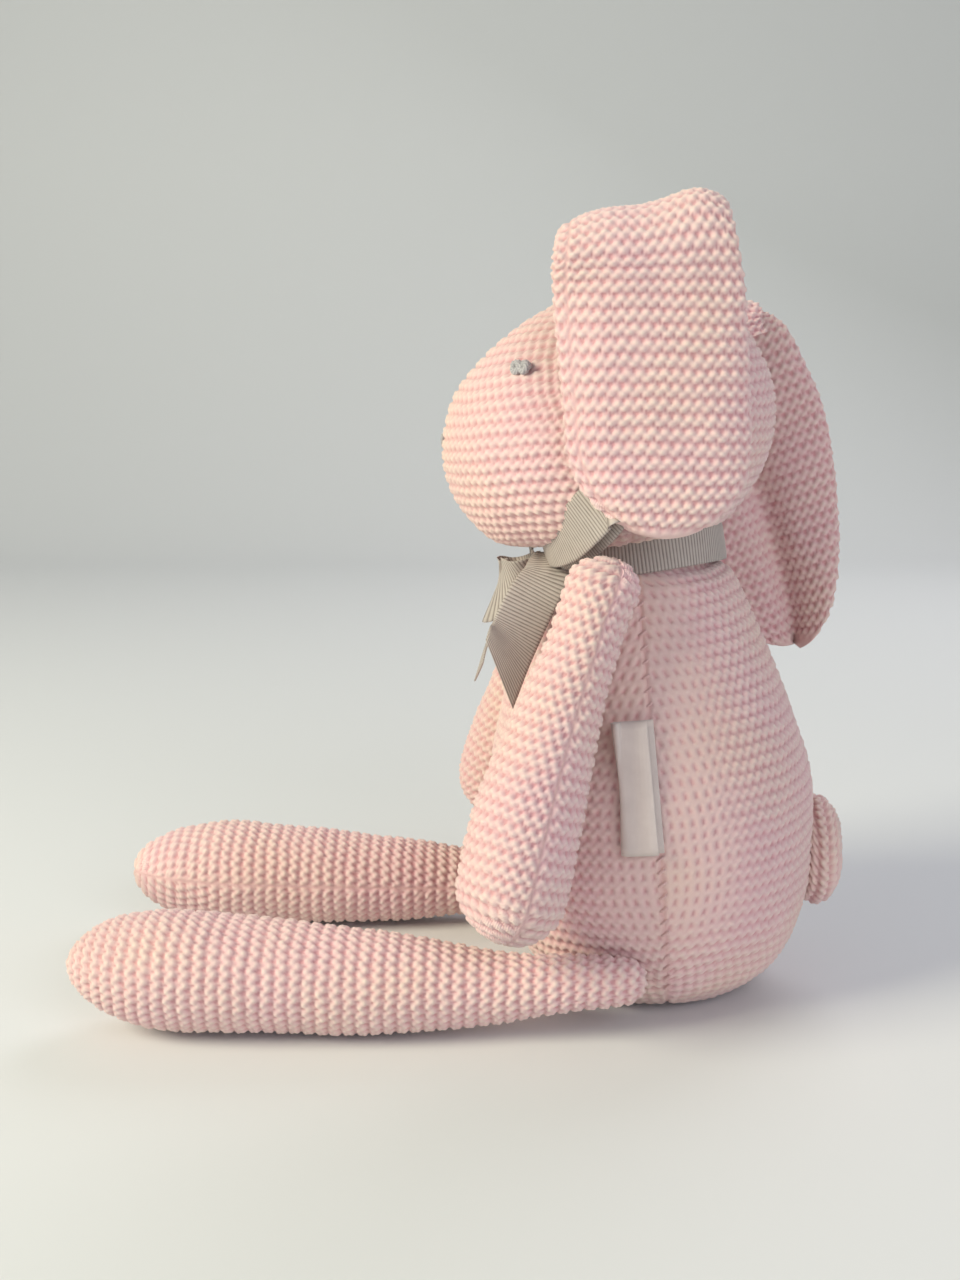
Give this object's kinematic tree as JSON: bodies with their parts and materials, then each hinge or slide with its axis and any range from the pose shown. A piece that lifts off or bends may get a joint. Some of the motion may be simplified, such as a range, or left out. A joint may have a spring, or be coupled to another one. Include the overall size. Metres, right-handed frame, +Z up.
{
  "type": "stuffed bunny rabbit",
  "caption": "Knitted stuffed bunny toy, sitting, with long folded ears, floppy limbs, a bobble tail and a ribbon bow at the neck.",
  "frame": {"origin": "centre of the flat seat under the body, on the surface the toy sits on", "axes": "+Z up, the bunny faces -Y, its left side is +X"},
  "size_m": [0.1624, 0.2695, 0.256],
  "materials": {
    "knit": "soft cotton garter-stitch knit, blush pink",
    "stuffing": "loose polyester fibre",
    "thread": "thick matt grey yarn",
    "ribbon": "ribbed grosgrain, taupe grey",
    "label": "woven satin tape, off-white, blank",
    "seam_thread": "sewing yarn"
  },
  "bodies": {
    "torso": {"body_front_panel": "knit", "body_back_panel": "knit", "body_stuffing": "stuffing", "tail_cover": "knit", "tail_stuffing": "stuffing", "ribbon_neck_band": "ribbon", "ribbon_knot": "ribbon", "ribbon_left_loop": "ribbon", "ribbon_right_loop": "ribbon", "side_label": "label", "left_seam_thread": "seam_thread", "right_seam_thread": "seam_thread"},
    "neck": {"neck_stuffing": "stuffing"},
    "head": {"head_front_panel": "knit", "head_back_panel": "knit", "head_stuffing": "stuffing", "left_eye": "thread", "right_eye": "thread", "nose_stitching": "thread", "left_ear_root": "knit", "right_ear_root": "knit"},
    "left_ear": {"left_ear_outer": "knit", "left_ear_inner": "knit"},
    "right_ear": {"right_ear_outer": "knit", "right_ear_inner": "knit"},
    "left_arm": {"left_arm_cover": "knit", "left_arm_stuffing": "stuffing"},
    "right_arm": {"right_arm_cover": "knit", "right_arm_stuffing": "stuffing"},
    "left_leg": {"left_leg_cover": "knit", "left_leg_stuffing": "stuffing"},
    "right_leg": {"right_leg_cover": "knit", "right_leg_stuffing": "stuffing"},
    "left_ribbon_tail": {"ribbon_left_tail": "ribbon"},
    "right_ribbon_tail": {"ribbon_right_tail": "ribbon"}
  },
  "joints": [
    {"name": "neck_turn", "type": "hinge", "parent": "torso", "child": "neck", "pos_m": [0, -0.01877, 0.14943], "axis": [0, -0.0872, 0.9962], "range_deg": [-15, 15], "stiffness_Nm_per_rad": 0.3},
    {"name": "neck_nod", "type": "hinge", "parent": "neck", "child": "head", "pos_m": [0, -0.01877, 0.14943], "axis": [1, 0, 0], "range_deg": [-7, 3.5], "stiffness_Nm_per_rad": 1},
    {"name": "left_ear_fold", "type": "hinge", "parent": "head", "child": "left_ear", "pos_m": [0.0475, -0.02, 0.24872], "axis": [0, -1, 0], "range_deg": [0, 75]},
    {"name": "right_ear_fold", "type": "hinge", "parent": "head", "child": "right_ear", "pos_m": [-0.044, 0.00198, 0.23594], "axis": [0, 0.9272, 0.3746], "range_deg": [0, 75]},
    {"name": "left_shoulder", "type": "hinge", "parent": "torso", "child": "left_arm", "pos_m": [0.045, -0.031, 0.141], "axis": [0.9063, -0.4226, 0], "range_deg": [-70, 4], "stiffness_Nm_per_rad": 0.06},
    {"name": "right_shoulder", "type": "hinge", "parent": "torso", "child": "right_arm", "pos_m": [-0.045, -0.031, 0.141], "axis": [0.9063, 0.4226, 0], "range_deg": [-70, 20], "stiffness_Nm_per_rad": 0.06},
    {"name": "left_hip", "type": "hinge", "parent": "torso", "child": "left_leg", "pos_m": [0.0515, -0.025, 0.0134], "axis": [1, 0, 0], "range_deg": [-6, 85]},
    {"name": "right_hip", "type": "hinge", "parent": "torso", "child": "right_leg", "pos_m": [-0.0515, -0.025, 0.0134], "axis": [1, 0, 0], "range_deg": [-6, 85]},
    {"name": "left_tail_swing", "type": "hinge", "parent": "torso", "child": "left_ribbon_tail", "pos_m": [0.008, -0.0495, 0.144], "axis": [-1, 0, 0], "range_deg": [0, 50]},
    {"name": "right_tail_swing", "type": "hinge", "parent": "torso", "child": "right_ribbon_tail", "pos_m": [-0.0095, -0.0505, 0.1445], "axis": [-1, 0, 0], "range_deg": [0, 50]}
  ]
}
